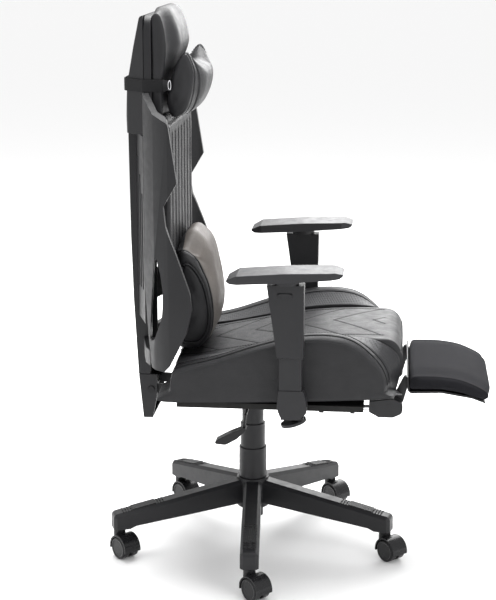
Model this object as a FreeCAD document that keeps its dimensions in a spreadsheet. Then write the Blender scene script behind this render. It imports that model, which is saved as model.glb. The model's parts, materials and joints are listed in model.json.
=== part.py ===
"""Reclining swivel armchair with a padded bucket seat, a skeleton back and a pull-out footrest.

The origin is on the floor under the gas lift. +Z is up, the sitter faces -Y and +X is the sitter's left.
Sizes are in millimetres. Every sub-part is an object of its own, and its Label names its file.
"""
import FreeCAD, Part
import math
import os
import re

from FreeCAD import Placement, Rotation, Vector

SIZES = {
    # five-legged base
    "stem_circle": 330, "leg_end": 346, "leg_width": 42, "leg_edge": 7, "leg_turn": 40.1,
    "hub_radius": 38, "hub_top": 165, "hub_bottom": 92, "leg_root_bottom": 104,
    "leg_tip_top": 108, "leg_tip_bottom": 68, "stem_radius": 5.5, "stem_bore": 5.55,
    "foot_pad_start": 243, "foot_pad_end": 337, "foot_pad_width": 28, "foot_pad_height": 2,
    # twin-wheel casters
    "wheel_radius": 26, "wheel_width": 19, "wheel_gap": 7, "axle_radius": 4, "axle_bore": 4.05,
    "caster_trail": 22, "caster_heading": 135, "hood_inner": 28, "hood_outer": 31.5, "hood_width": 44,
    "web_width": 5.4, "neck_radius": 14, "neck_top": 66, "stem_foot": 52, "stem_head": 98,
    # gas lift and its telescopic cover
    "tube_radius": 25, "tube_foot": 66, "tube_head": 262, "piston_radius": 14, "piston_bore": 14.05,
    "piston_foot": 158, "piston_head": 385, "cover_top": 353.6,
    "upper_cover_radius": 26, "middle_cover_radius": 29.5, "lower_cover_radius": 33,
    "upper_cover_foot": 288, "middle_cover_foot": 228, "middle_cover_head": 300, "lower_cover_head": 240,
    # seat
    "boss_radius": 30, "boss_foot": 354, "housing_foot": 364, "housing_top": 400, "pan_foot": 405,
    "pan_top": 418, "housing_half": 55, "housing_front": -72, "housing_rear": 90,
    "plate_half": 112, "plate_front": -125, "plate_rear": 125, "pan_half": 232, "pan_front": -268,
    "pan_rear": 150, "seat_inner_half": 150, "seat_crest_half": 214, "seat_half": 250,
    # recline hinge
    "hinge_y": 235, "hinge_z": 392, "hinge_radius": 8, "hinge_bore": 8.05, "hinge_eye": 12,
    "recline_arm_inner": 42, "recline_arm_thick": 8, "hinge_pin_half": 64,
    # backrest
    "spine_half": 60, "spine_wall": 5, "spine_head": 1002, "frame_skin": 13,
    "back_panel_foot": 575, "back_panel_skin": 5, "slot_width": 14, "slot_foot": 650, "slot_head": 950,
    "link_foot": 483, "link_head": 520, "headrest_half": 138, "headrest_foot": 1003,
    "headrest_head": 1264, "headrest_front": 211.3, "headrest_back": 229.5, "headrest_corner": 34,
    "pad_half": 137, "pillow_half": 142, "strap_foot": 1098, "strap_head": 1126, "strap_skin": 2,
    "lumbar_half": 150, "back_cushion_half": 182, "back_cushion_front": 166, "back_cushion_back": 187,
    "back_cushion_foot": 506, "back_cushion_head": 1030,
    # armrests
    "arm_x": 285, "post_width": 26, "post_front": -134, "post_rear": -85, "post_head": 630,
    "foot_top": 470, "sleeve_foot": 543, "sleeve_top": 706, "sleeve_width": 36, "slide_gap": 0.3,
    "sleeve_roof": 697, "pad_width": 90, "pad_boss_radius": 27, "pad_boss_foot": 706.4,
    "arm_pivot_y": -100, "bracket_foot": 399, "bracket_top": 404.5, "bracket_inner": 120,
    "bracket_front": -138, "bracket_rear": -88, "knob_radius": 29, "knob_height": 8, "knob_tilt": 16,
    "knob_x": 258, "knob_y": -116, "knob_z": 383, "knob_stem": 5, "knob_bore": 5.05,
    "button_y": -97, "button_z": 680, "button_length": 32, "button_height": 9, "button_depth": 3.4,
    # height lever
    "lever_wire": 3.5, "lever_x": -180, "lever_bore": 3.55, "lever_y": 0, "lever_z": 374,
    "grip_width": 26,
    # footrest
    "rod_x": 150, "rod_z": 391, "rod_radius": 6.4, "rod_bore": 6.45, "rod_rear": 108, "rod_front": -312,
    "guide_front": -247, "guide_rear": -166, "guide_width": 24, "guide_foot": 379,
    "elbow_inner": 139, "elbow_width": 26, "elbow_rear": -279, "elbow_radius": 22,
    "fold_y": -333, "fold_z": 395, "fold_pin": 5, "fold_bore": 5.05, "fold_arm_width": 12,
    "footrest_half": 170, "footrest_plate_half": 160,
}

TOUCHING = 0.000001

doc = FreeCAD.newDocument("Chair")
sheet = doc.addObject("Spreadsheet::Sheet", "Sizes")
for row, (name, number) in enumerate(SIZES.items(), start=1):
    sheet.set("A%d" % row, name)
    sheet.set("B%d" % row, str(number))
    sheet.setAlias("B%d" % row, name)
doc.recompute()


def read(name):
    """A size from the sheet, as a plain number."""
    return float(sheet.get(name))


def in_sheet(expression):
    """The same expression with every size name pointed at the sheet."""
    return re.sub(r"[a-z][a-z_]*[a-z]", lambda word: "Sizes." + word.group(0), expression)


def bind(thing, **expressions):
    """Bind properties of an object to expressions over the sheet."""
    for name, expression in expressions.items():
        thing.setExpression(name.replace("__", "."), in_sheet(expression))


# ---------------------------------------------------------------- tools for building sub-parts


def tangent_outline(points):
    """Straight runs through the points. A third number on a point is the radius of its corner."""
    corners = []
    for index, point in enumerate(points):
        here = Vector(point[0], point[1], 0)
        if len(point) == 2:
            corners.append([here])
            continue
        radius = point[2]
        before = Vector(*points[index - 1][:2], 0)
        after = Vector(*points[(index + 1) % len(points)][:2], 0)
        back = (before - here).normalize()
        onward = (after - here).normalize()
        half = back.getAngle(onward) / 2
        reach = radius / math.tan(half)
        inward = (back + onward).normalize()
        middle = here + inward * (radius / math.sin(half) - radius)
        corners.append([here + back * reach, middle, here + onward * reach])
    pieces = []
    for corner, following in zip(corners, corners[1:] + corners[:1]):
        if len(corner) == 3:
            pieces.append(Part.Arc(*corner))
        if corner[-1].distanceToPoint(following[0]) > TOUCHING:
            pieces.append(Part.LineSegment(corner[-1], following[0]))
    return pieces


def sketch_on(body, role, outline, offset="0"):
    """A sketch of an outline on an origin plane of the body, moved along the plane's normal."""
    plane = next(feature for feature in body.Origin.OriginFeatures if feature.Role == role)
    sketch = body.newObject("Sketcher::SketchObject", body.Name + "_outline")
    sketch.AttachmentSupport = [(plane, "")]
    sketch.MapMode = "FlatFace"
    bind(sketch, AttachmentOffset__Base__z=offset)
    for piece in tangent_outline(outline):
        sketch.addGeometry(piece, False)
    return sketch


def new_body(label):
    """An empty body named after its sub-part."""
    body = doc.addObject("PartDesign::Body", label)
    body.Label = label
    return body


def prism(label, role, outline, start, length):
    """A body padded from an outline: it starts at one expression and is as long as another."""
    body = new_body(label)
    pad = body.newObject("PartDesign::Pad", label + "_pad")
    pad.Profile = sketch_on(body, role, outline, start)
    bind(pad, Length=length)
    body.Tip = pad
    return body


def slab(label, outline, start, length):
    """A side outline, given as (y, z) points, made solid along +X."""
    return prism(label, "YZ_Plane", outline, start, length)


def column(label, outline, start, length):
    """A plan outline, given as (x, y) points, made solid along +Z."""
    return prism(label, "XY_Plane", outline, start, length)


def block(label, x, y, z, length, width, height):
    """A box from its low corner and its three sizes, all expressions."""
    box = doc.addObject("Part::Box", label)
    box.Label = label
    bind(box, Placement__Base__x=x, Placement__Base__y=y, Placement__Base__z=z)
    bind(box, Length=length, Width=width, Height=height)
    return box


def rod(label, radius, length, x="0", y="0", z="0", along=Vector(0, 0, 1)):
    """A cylinder from the centre of its first end, along any direction."""
    cylinder = doc.addObject("Part::Cylinder", label)
    cylinder.Label = label
    cylinder.Placement = Placement(Vector(), Rotation(Vector(0, 0, 1), along))
    bind(cylinder, Radius=radius, Height=length)
    bind(cylinder, Placement__Base__x=x, Placement__Base__y=y, Placement__Base__z=z)
    return cylinder


def combine(kind, label, first, others):
    """A boolean of whole sub-parts: Cut takes one tool, the others take a list."""
    result = doc.addObject("Part::" + kind, label)
    result.Label = label
    if kind == "Cut":
        result.Base = first
        result.Tool = others
    else:
        result.Shapes = [first] + others
    return result


def cut(label, base, tools):
    """The base without its tools."""
    if len(tools) == 1:
        return combine("Cut", label, base, tools[0])
    return combine("Cut", label, base, combine("MultiFuse", label + "_tools", tools[0], tools[1:]))


def fuse(label, *pieces):
    """Touching pieces made one solid."""
    return combine("MultiFuse", label, pieces[0], list(pieces[1:]))


def overlap(label, *pieces):
    """What the pieces have in common."""
    return combine("MultiCommon", label, pieces[0], list(pieces[1:]))


def group(label, pieces):
    """Separate solids of the same kind, kept in one sub-part."""
    compound = doc.addObject("Part::Compound", label)
    compound.Label = label
    compound.Links = pieces
    return compound


def mirrored(outline):
    """The outline on the other side of the middle plane x = 0."""
    return [(-point[0],) + tuple(point[1:]) for point in reversed(outline)]


def along_x(side, inner, width):
    """Start of a piece that is `width` wide outside the expression `inner`, on either side."""
    return inner if side > 0 else "-(%s) - (%s)" % (inner, width)


SIDES = {"left": 1, "right": -1}
subparts = []


def keep(*things):
    """Mark finished sub-parts for the final list."""
    subparts.extend(things)


# ---------------------------------------------------------------- base and casters


def caster_places():
    """Stem positions on the base, with a number for each."""
    for number in range(5):
        angle = math.radians(read("leg_turn") + number * 72)
        yield number + 1, read("stem_circle") * math.cos(angle), read("stem_circle") * math.sin(angle)


def leg_profile():
    """Side outline of one leg, from inside the hub to its rounded tip."""
    root = read("hub_radius") * 0.8
    return [
        (root, read("hub_top") - 4),
        (read("stem_circle") - 20, read("leg_tip_top") + 3, 60),
        (read("leg_end"), read("leg_tip_top") - 3, read("leg_edge") * 1.7),
        (read("leg_end"), read("leg_tip_bottom")),
        (read("leg_end") - 38, read("leg_tip_bottom")),
        (read("leg_end") - 52, read("leg_tip_bottom") + 6),
        (root, read("leg_root_bottom")),
    ]


def base_leg(number):
    """One leg with both long upper edges bevelled, turned to its place."""
    body = new_body("base_leg_%d" % number)
    leg = body.newObject("PartDesign::Pad", "base_leg_pad_%d" % number)
    leg.Profile = sketch_on(body, "XZ_Plane", leg_profile(), "-leg_width / 2")
    bind(leg, Length="leg_width")
    body.Tip = leg
    doc.recompute()
    middle = read("leg_width") / 2
    upper = (read("hub_top") + read("leg_root_bottom")) / 2
    bevel = body.newObject("PartDesign::Chamfer", "base_leg_bevel_%d" % number)
    bevel.Base = (leg, [
        "Edge%d" % index
        for index, edge in enumerate(leg.Shape.Edges, start=1)
        if abs(abs(edge.CenterOfMass.y) - middle) < TOUCHING
        and edge.BoundBox.XLength > read("leg_width")
        and edge.BoundBox.ZMax > upper
    ])
    bind(bevel, Size="leg_edge")
    body.Tip = bevel
    body.Placement = Placement(Vector(), Rotation(Vector(0, 0, 1), read("leg_turn") + number * 72))
    return body


def base_star():
    """Five bevelled legs round a hub, bored for the gas lift and the caster stems."""
    hub = rod("base_hub", "hub_radius", "hub_top - hub_bottom", z="hub_bottom")
    legs = [base_leg(number) for number in range(5)]
    bores = [rod("base_tube_bore", "tube_radius", "hub_top", z="tube_foot - 1")]
    for number, x, y in caster_places():
        bore = rod("base_stem_bore_%d" % number, "stem_radius", "stem_head - leg_tip_bottom + 1",
                   z="leg_tip_bottom - 1")
        bind(bore, Placement__Base__x=str(x), Placement__Base__y=str(y))
        bores.append(bore)
    return cut("base_star", fuse("base_star_blank", hub, *legs), bores)


def base_foot_pads():
    """A ribbed tread plate on the slope of each leg."""
    start = read("foot_pad_start")
    end = read("foot_pad_end")
    run = read("stem_circle") - 20 - read("hub_radius")
    fall = (read("hub_top") - 4 - read("leg_tip_top") - 3) / run
    slope = math.degrees(math.atan(fall))
    pads = []
    for number in range(5):
        pad = doc.addObject("Part::Box", "foot_pad_%d" % (number + 1))
        bind(pad, Length="(foot_pad_end - foot_pad_start) * 0.62", Width="foot_pad_width",
             Height="foot_pad_height")
        top = read("hub_top") - 4 - (start - read("hub_radius")) * fall
        tilt = Placement(Vector(start, -read("foot_pad_width") / 2, top + 0.02), Rotation(Vector(0, 1, 0), slope))
        turn = Placement(Vector(), Rotation(Vector(0, 0, 1), read("leg_turn") + number * 72))
        pad.Placement = turn.multiply(tilt)
        pads.append(pad)
    return group("base_foot_pads", pads)


def caster_stems():
    """Steel stems pressed into the legs, on which the casters swivel."""
    stems = []
    for number, x, y in caster_places():
        stem = rod("stem_%d" % number, "stem_radius", "stem_head - stem_foot", z="stem_foot")
        bind(stem, Placement__Base__x=str(x), Placement__Base__y=str(y))
        stems.append(stem)
    return group("caster_stems", stems)


def caster_frame(x, y):
    """Placement whose X runs along the wheel axle and whose origin is on the floor under the axle."""
    heading = math.radians(read("caster_heading"))
    axle = Vector(math.cos(heading), math.sin(heading), 0)
    trail = Vector(-axle.y, axle.x, 0)
    foot = Vector(x, y, 0) + trail * read("caster_trail")
    return Placement(foot, Rotation(axle, trail, Vector(0, 0, 1), "XYZ"))


def caster_hood(number, x, y):
    """Arched hood, centre web and swivel neck of one caster."""
    name = "caster_hood_%d" % number
    shell = rod(name + "_shell", "hood_outer", "hood_width", x="-hood_width / 2", z="wheel_radius",
                along=Vector(1, 0, 0))
    neck = rod(name + "_neck", "neck_radius", "neck_top - wheel_radius", y="-caster_trail", z="wheel_radius")
    hollow = rod(name + "_hollow", "hood_inner", "hood_width + 2", x="-hood_width / 2 - 1",
                 z="wheel_radius", along=Vector(1, 0, 0))
    skirt = block(name + "_skirt", "-hood_width", "-hood_outer - neck_radius", "-neck_radius", "hood_width * 2",
                  "(hood_outer + neck_radius) * 2", "wheel_radius + neck_radius - 5")
    web = rod(name + "_web", "hood_inner + 1", "web_width", x="-web_width / 2", z="wheel_radius",
              along=Vector(1, 0, 0))
    trim = block(name + "_web_trim", "-web_width", "-hood_outer - 5", "-5", "web_width * 2",
                 "hood_outer * 2 + 10", "wheel_radius - 3")
    open_shell = cut(name + "_arch", fuse(name + "_dome", shell, neck), [hollow, skirt])
    half_web = cut(name + "_half_web", web, [trim])
    blank = fuse(name + "_blank", open_shell, half_web)
    bore = rod(name + "_bore", "stem_bore", "neck_top", y="-caster_trail", z="stem_foot - 0.5")
    eye = rod(name + "_eye", "axle_bore", "hood_width", x="-hood_width / 2", z="wheel_radius",
              along=Vector(1, 0, 0))
    wheel_room = [
        block(name + "_room_%s" % side, along_x(sign, "web_width / 2 + 0.4", "wheel_width + 1"),
              "-hood_inner", "-1", "wheel_width + 1", "hood_inner * 2", "wheel_radius + 1")
        for side, sign in SIDES.items()
    ]
    hood = cut(name, blank, [bore, eye] + wheel_room)
    hood.Placement = caster_frame(x, y)
    return hood


def caster_wheels(number, x, y):
    """Twin dished wheels on one axle, turned about the axle as a single profile."""
    name = "caster_wheels_%d" % number
    inner = read("wheel_gap") / 2
    outer = inner + read("wheel_width")
    rim = read("wheel_radius")
    axle = read("axle_radius")
    dish = 1.4
    half = [(inner, axle), (inner, rim, 3), (outer, rim, 4), (outer, rim - 5), (outer - dish, rim - 7),
            (outer - dish, 0)]
    body = new_body(name)
    turned = body.newObject("PartDesign::Revolution", name + "_turned")
    turned.Profile = sketch_on(body, "XZ_Plane", half + mirrored(half))
    turned.ReferenceAxis = (next(f for f in body.Origin.OriginFeatures if f.Role == "X_Axis"), [""])
    turned.Angle = 360
    body.Tip = turned
    lift = Placement(Vector(0, 0, rim), Rotation())
    body.Placement = caster_frame(x, y).multiply(lift)
    return body


def base():
    """Everything that stands on the floor."""
    keep(base_star(), base_foot_pads(), caster_stems())
    for number, x, y in caster_places():
        keep(caster_hood(number, x, y), caster_wheels(number, x, y))


# ---------------------------------------------------------------- gas lift


def tube(label, radius, bore, foot, head):
    """A plain tube from four expressions."""
    outside = rod(label + "_outside", radius, "(%s) - (%s)" % (head, foot), z=foot)
    inside = rod(label + "_inside", bore, "(%s) - (%s) + 2" % (head, foot), z="(%s) - 1" % foot)
    return cut(label, outside, [inside])


def gas_lift():
    """Outer tube, piston and the three telescopic cover stages."""
    keep(
        tube("gas_lift_outer_tube", "tube_radius", "piston_bore", "tube_foot", "tube_head"),
        rod("gas_lift_piston", "piston_radius", "piston_head - piston_foot", z="piston_foot"),
        tube("column_cover_upper", "upper_cover_radius", "tube_radius + slide_gap", "upper_cover_foot",
             "cover_top"),
        tube("column_cover_middle", "middle_cover_radius", "upper_cover_radius + 2 * slide_gap",
             "middle_cover_foot", "middle_cover_head"),
        tube("column_cover_lower", "lower_cover_radius", "middle_cover_radius + 2 * slide_gap", "hub_top",
             "lower_cover_head"),
    )


# ---------------------------------------------------------------- seat


def seat_mechanism():
    """Tilt housing with the swivel socket, under a flat mounting plate."""
    housing = block("mechanism_housing", "-housing_half", "housing_front", "housing_foot",
                    "housing_half * 2", "housing_rear - housing_front", "housing_top - housing_foot")
    boss = rod("mechanism_boss", "boss_radius", "housing_top - boss_foot", z="boss_foot")
    plate = block("mechanism_plate", "-plate_half", "plate_front", "housing_top", "plate_half * 2",
                  "plate_rear - plate_front", "pan_foot - housing_top")
    socket = rod("mechanism_socket", "piston_bore", "piston_head - boss_foot + 2", z="boss_foot - 1")
    lever_bore = rod("mechanism_lever_bore", "lever_bore", "housing_half - boss_radius + 1",
                     x="-housing_half - 1", y="lever_y", z="lever_z", along=Vector(1, 0, 0))
    return cut("seat_mechanism", fuse("mechanism_blank", housing, boss, plate), [socket, lever_bore])


def seat_cushion():
    """Middle of the seat: it rises to the front and rolls over the edge."""
    profile = [(165, 418), (165, 495, 10), (111, 499, 60), (-27, 526, 90), (-113, 543, 90),
               (-199, 551, 90), (-300, 553, 30), (-343, 541, 26), (-352, 505, 60), (-345, 440, 30),
               (-318, 418, 12)]
    return slab("seat_cushion", profile, "-seat_inner_half + slide_gap", "(seat_inner_half - slide_gap) * 2")


def bolster_sections():
    """Matching outlines of a side bolster: where it meets the seat, its crest and its outer face."""
    stations = [158, 138, 60, -30, -120, -195, -250, -300]
    seat_line = [494, 500, 511, 530, 549, 556, 556, 548]
    crest_line = [488, 502, 522, 553, 577, 581, 566, 522]
    outer_line = [478, 490, 510, 538, 560, 564, 548, 502]
    inner = [(161, 419), (164, 455)] + list(zip(stations, seat_line)) + [(-346, 512), (-340, 440), (-312, 419)]
    crest = [(161, 419), (164, 450)] + list(zip(stations, crest_line)) + [(-320, 480), (-318, 458), (-300, 438)]
    outer = [(158, 421), (161, 446)] + list(zip(stations, outer_line)) + [(-312, 474), (-310, 458), (-292, 441)]
    return inner, crest, outer


def seat_bolster(name, side):
    """Side bolster, lofted through its three outlines."""
    label = "seat_bolster_" + name
    body = new_body(label)
    places = ["seat_inner_half", "seat_crest_half", "seat_half"]
    sketches = [
        sketch_on(body, "YZ_Plane", outline, place if side > 0 else "-" + place)
        for outline, place in zip(bolster_sections(), places)
    ]
    loft = body.newObject("PartDesign::AdditiveLoft", label + "_loft")
    loft.Profile = sketches[0]
    loft.Sections = sketches[1:]
    loft.Ruled = True
    body.Tip = loft
    return body


def recline_arms():
    """Two steel arms from the mechanism back to the recline pin."""
    eye = read("hinge_eye")
    y = read("hinge_y")
    z = read("hinge_z")
    under_plate = read("housing_top") - read("slide_gap")
    eye_corner = eye - 1
    side_view = [(read("housing_rear"), z - eye), (y + eye, z - eye, eye_corner), (y + eye, z + eye, eye_corner),
                 (read("pan_rear"), under_plate), (read("housing_rear"), under_plate)]
    arms = []
    for name, side in SIDES.items():
        plate = slab("recline_arm_plate_" + name, side_view,
                     along_x(side, "recline_arm_inner", "recline_arm_thick"), "recline_arm_thick")
        eye_hole = rod("recline_arm_hole_" + name, "hinge_radius", "recline_arm_thick + 2",
                       x=along_x(side, "recline_arm_inner", "recline_arm_thick") + " - 1", y="hinge_y",
                       z="hinge_z", along=Vector(1, 0, 0))
        arms.append(cut("recline_arm_" + name, plate, [eye_hole]))
    return group("recline_arms", arms)


def footrest_guide(name, side):
    """Slide block for a footrest rod, with a lug at each end."""
    label = "footrest_guide_" + name
    start = along_x(side, "rod_x - guide_width / 2", "guide_width")
    body = block(label + "_block", start, "guide_front + 8", "guide_foot + 3", "guide_width",
                 "guide_rear - guide_front - 16", "pan_foot - guide_foot - 3")
    lugs = [
        block(label + "_lug_" + end, start, place, "guide_foot", "guide_width", "10", "pan_foot - guide_foot")
        for end, place in (("front", "guide_front"), ("rear", "guide_rear - 10"))
    ]
    bore = rod(label + "_bore", "rod_bore", "guide_rear - guide_front + 2",
               x="rod_x" if side > 0 else "-rod_x", y="guide_front - 1", z="rod_z", along=Vector(0, 1, 0))
    return cut(label, fuse(label + "_blank", body, *lugs), [bore])


def seat():
    """Everything that turns with the seat and doesn't move on it."""
    pan = block("seat_pan", "-pan_half", "pan_front", "pan_foot", "pan_half * 2", "pan_rear - pan_front",
                "pan_top - pan_foot")
    pin = rod("recline_pin", "hinge_radius", "hinge_pin_half * 2", x="-hinge_pin_half", y="hinge_y",
              z="hinge_z", along=Vector(1, 0, 0))
    keep(seat_mechanism(), pan, seat_cushion(), recline_arms(), pin)
    for name, side in SIDES.items():
        keep(seat_bolster(name, side), footrest_guide(name, side))


def height_lever():
    """Bent wire with a flat grip, turning in the side of the mechanism."""
    x = read("lever_x")
    y = read("lever_y")
    z = read("lever_z")
    wire = read("lever_wire")
    route = [Vector(-read("boss_radius") - 6, y, z), Vector(x, y, z), Vector(x, y + 4, z - 34)]
    path = Part.makePolygon(route)
    section = Part.Wire(Part.makeCircle(wire, route[0], Vector(-1, 0, 0)))
    bent = Part.Wire(path).makePipeShell([section], True, False, 2)
    lever = doc.addObject("Part::Feature", "lever_wire_solid")
    lever.Shape = bent
    paddle = [(y - 6, z - 24, 3), (y + 31, z - 39, 40), (y + 66, z - 58, 8), (y + 71, z - 67, 4),
              (y + 44, z - 69, 14), (y + 17, z - 53, 20), (y + 1, z - 36, 4)]
    grip = slab("lever_grip", paddle, "lever_x - grip_width / 2", "grip_width")
    return fuse("height_lever", grip, lever)


# ---------------------------------------------------------------- backrest


def shell_strip():
    """Plan of the curved shell, from behind the back panels to the front edge of a wing, at +X."""
    outer = [(150, 232), (208, 200), (234, 165), (241, 105)]
    skin = read("frame_skin")
    inner = [(241 - skin, 105), (234 - skin, 162), (200, 190), (150 - skin / 2, 232 - skin)]
    return outer + inner


def side_view_outline():
    """Side view of a frame: pointed wing above, D-shaped loop below, as (y, z)."""
    return [(230, 1108), (195, 1108), (163, 1038), (144, 912, 3), (176, 857), (171, 814, 20),
            (145, 747, 60), (117, 668, 50), (113, 628, 40), (125, 576, 40), (163, 500), (178, 483, 2),
            (212, 483, 2), (222, 560), (230, 660)]


def loop_opening():
    """Side view of the long eye in a loop."""
    return [(199, 756, 4), (185, 705, 60), (178, 655, 60), (183, 604, 60), (203, 551, 4), (216, 543, 3),
            (213, 605, 80), (206, 690, 80)]


def side_frame(name, side):
    """Wing and loop in one shell, with a sloping shoulder and the eye cut through."""
    label = "side_frame_" + name
    strip = shell_strip() if side > 0 else mirrored(shell_strip())
    plan = column(label + "_plan", strip, "link_foot - 5", "headrest_head - link_foot")
    view = slab(label + "_view", side_view_outline(), along_x(side, "seat_inner_half / 2", "seat_half"),
                "seat_half")
    eye = slab(label + "_eye", loop_opening(), along_x(side, "seat_inner_half / 2", "seat_half"), "seat_half")
    slope = [(100, 1097), (148, 1097), (238, 1038), (262, 1030), (262, 1220), (100, 1220)]
    if side < 0:
        slope = mirrored(slope)
    shoulder = prism(label + "_shoulder", "XZ_Plane", slope, "-link_foot", "link_foot * 2")
    return cut(label, overlap(label + "_blank", plan, view), [eye, shoulder])


def back_panel(name, side):
    """Slanted slotted panel between the spine and a side frame."""
    label = "back_panel_" + name
    skin = read("back_panel_skin")
    plan = [(60.3, 262), (60.3, 262 - skin), (147, 230.6), (153, 230.6)]
    if side < 0:
        plan = mirrored(plan)
    panel = column(label + "_blank", plan, "back_panel_foot", "spine_head - back_panel_foot")
    slots = [
        block(label + "_slot_%d" % number, along_x(side, str(place), "slot_width"), "200", "slot_foot",
              "slot_width", "100", "slot_head - slot_foot - %d" % (number * 40))
        for number, place in enumerate((76, 100, 124))
    ]
    return cut(label, panel, slots)


def spine_channel(label, outside, inside):
    """A channel, open to the front, from its outer and inner side views."""
    outer = slab(label + "_outer", outside, "-spine_half", "spine_half * 2")
    inner = slab(label + "_inner", inside, "-spine_half + spine_wall", "(spine_half - spine_wall) * 2")
    return outer, inner


def spine_cover():
    """Long channel down the middle of the back."""
    outer, inner = spine_channel(
        "spine_cover",
        [(264.3, 429), (273, 607), (277, 761), (279, 1002), (236, 1002), (236, 429)],
        [(259, 420), (267.5, 607), (271.5, 761), (273.5, 996), (220, 996), (220, 420)])
    return cut("spine_cover", outer, [inner])


def spine_foot():
    """Separate tapered end of the spine, hung on the recline pin."""
    outer, inner = spine_channel(
        "spine_foot",
        [(264, 428), (254, 322), (232, 322), (221, 380), (221, 428)],
        [(259, 440), (249, 326), (210, 326), (210, 440)])
    eye = rod("spine_foot_eye", "hinge_bore", "spine_half * 2 + 2", x="-spine_half - 1", y="hinge_y",
              z="hinge_z", along=Vector(1, 0, 0))
    return cut("spine_foot", outer, [inner, eye])


def lower_links():
    """Short struts that tie the bottom of both loops to the spine."""
    plan = [(60.2, 237), (60.2, 251), (148, 232), (178, 217), (150, 217)]
    links = [
        column("lower_link_" + name, plan if side > 0 else mirrored(plan), "link_foot", "link_head - link_foot")
        for name, side in SIDES.items()
    ]
    return group("lower_links", links)


def headrest_plate():
    """Rigid plate behind the headrest pad, with round upper corners."""
    half = read("headrest_half")
    corner = read("headrest_corner")
    outline = [(-half, read("headrest_foot")), (half, read("headrest_foot")),
               (half, read("headrest_head"), corner), (-half, read("headrest_head"), corner)]
    return prism("headrest_plate", "XZ_Plane", outline, "-headrest_back", "headrest_back - headrest_front")


def hood_plan():
    """Plan of the rear hood, shared by the strap that goes round it."""
    half = read("headrest_half")
    back = read("headrest_back")
    return [(-half, back), (half, back), (half - 38, back + 47, 20), (-half + 38, back + 47, 20)]


def rear_hood():
    """Bulged cover on the back of the headrest."""
    plan = column("rear_hood_plan", hood_plan(), "headrest_foot", "headrest_head - headrest_foot + 12")
    back = read("headrest_back")
    side_view = [(back, 1003), (274, 1003), (276, 1040), (272, 1110, 60), (254, 1196, 60), (238, 1262, 10),
                 (back, 1264)]
    view = slab("rear_hood_view", side_view, "-headrest_half", "headrest_half * 2")
    return overlap("rear_hood", plan, view)


def headrest_pad():
    """Padded front of the headrest, thick at the top and thin behind the neck pillow."""
    side_view = [(211, 1040), (211, 1266, 6), (202, 1281, 12), (182, 1278, 14), (166, 1252, 20),
                 (156, 1210, 20), (157, 1184, 14), (172, 1150, 14), (184, 1128, 14), (186, 1040)]
    return slab("headrest_pad", side_view, "-pad_half", "pad_half * 2")


def head_pillow():
    """Neck pillow in front of the headrest."""
    side_view = [(134, 1190, 6), (150, 1180, 6), (164, 1135, 40), (181, 1082, 30), (172, 1038, 14),
                 (136, 1048, 20), (106, 1084, 20), (102, 1126, 30), (114, 1160, 20)]
    return slab("head_pillow", side_view, "-pillow_half", "pillow_half * 2")


def pillow_strap():
    """Elastic strap from the pillow ends round the hood, in three flat runs."""
    half = read("headrest_half") + 1
    skin = read("strap_skin")
    back = read("headrest_back")
    inner = [(-half, 185), (-half, back + 1), (-half + 39, back + 48.5, 20), (half - 39, back + 48.5, 20),
             (half, back + 1), (half, 185)]
    outer = [(half + skin, 185), (half + skin, back + 2), (half - 37, back + 48.5 + skin, 22),
             (-half + 37, back + 48.5 + skin, 22), (-half - skin, back + 2), (-half - skin, 185)]
    return column("pillow_strap", inner + outer, "strap_foot", "strap_head - strap_foot")


def lumbar_cushion():
    """Loose lumbar cushion between the seat and the back."""
    side_view = [(163, 510, 6), (135, 508, 12), (106, 516, 16), (84, 548, 30), (77, 597, 60), (85, 670, 80),
                 (101, 741, 40), (127, 781, 10), (150, 777, 10), (163, 750, 20)]
    return slab("lumbar_cushion", side_view, "-lumbar_half", "lumbar_half * 2")


def backrest():
    """Everything that reclines."""
    cushion = block("back_cushion", "-back_cushion_half", "back_cushion_front", "back_cushion_foot",
                    "back_cushion_half * 2", "back_cushion_back - back_cushion_front",
                    "back_cushion_head - back_cushion_foot")
    keep(spine_cover(), spine_foot(), lower_links(), headrest_plate(), rear_hood(), headrest_pad(),
         head_pillow(), pillow_strap(), lumbar_cushion(), cushion)
    for name, side in SIDES.items():
        keep(side_frame(name, side), back_panel(name, side))


# ---------------------------------------------------------------- armrests


def knob_axis():
    """Direction from the clamping knob up into the bracket."""
    tilt = math.radians(read("knob_tilt"))
    return Vector(0, math.sin(tilt), math.cos(tilt))


def arm_bracket(name, side):
    """Flat steel bar under the seat, with a boss for the clamping knob."""
    label = "arm_bracket_" + name
    x = "knob_x" if side > 0 else "-knob_x"
    bar = block(label + "_bar", along_x(side, "bracket_inner", "arm_x - bracket_inner"), "bracket_front",
                "bracket_foot", "arm_x - bracket_inner", "bracket_rear - bracket_front",
                "bracket_top - bracket_foot")
    boss = rod(label + "_boss", "knob_stem * 2", "bracket_top - knob_z", x=x, y="knob_y", z="knob_z",
               along=knob_axis())
    under = block(label + "_under", x + " - knob_radius", "knob_y - knob_radius", "knob_z + knob_height + 3.5",
                  "knob_radius * 2", "knob_radius * 2", "bracket_top - knob_z - knob_height - 3.5")
    bore = rod(label + "_bore", "knob_bore", "bracket_top - knob_z + 5", x=x, y="knob_y", z="knob_z",
               along=knob_axis())
    return cut(label, fuse(label + "_blank", bar, overlap(label + "_stub", boss, under)), [bore])


def arm_knob(name, side):
    """Round clamping knob on its stem."""
    label = "arm_knob_" + name
    x = "knob_x" if side > 0 else "-knob_x"
    grip = rod(label + "_grip", "knob_radius", "knob_height", x=x, y="knob_y", z="knob_z", along=knob_axis())
    stem = rod(label + "_stem", "knob_stem", "bracket_foot - knob_z + 2", x=x, y="knob_y", z="knob_z",
               along=knob_axis())
    return fuse(label, grip, stem)


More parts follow.
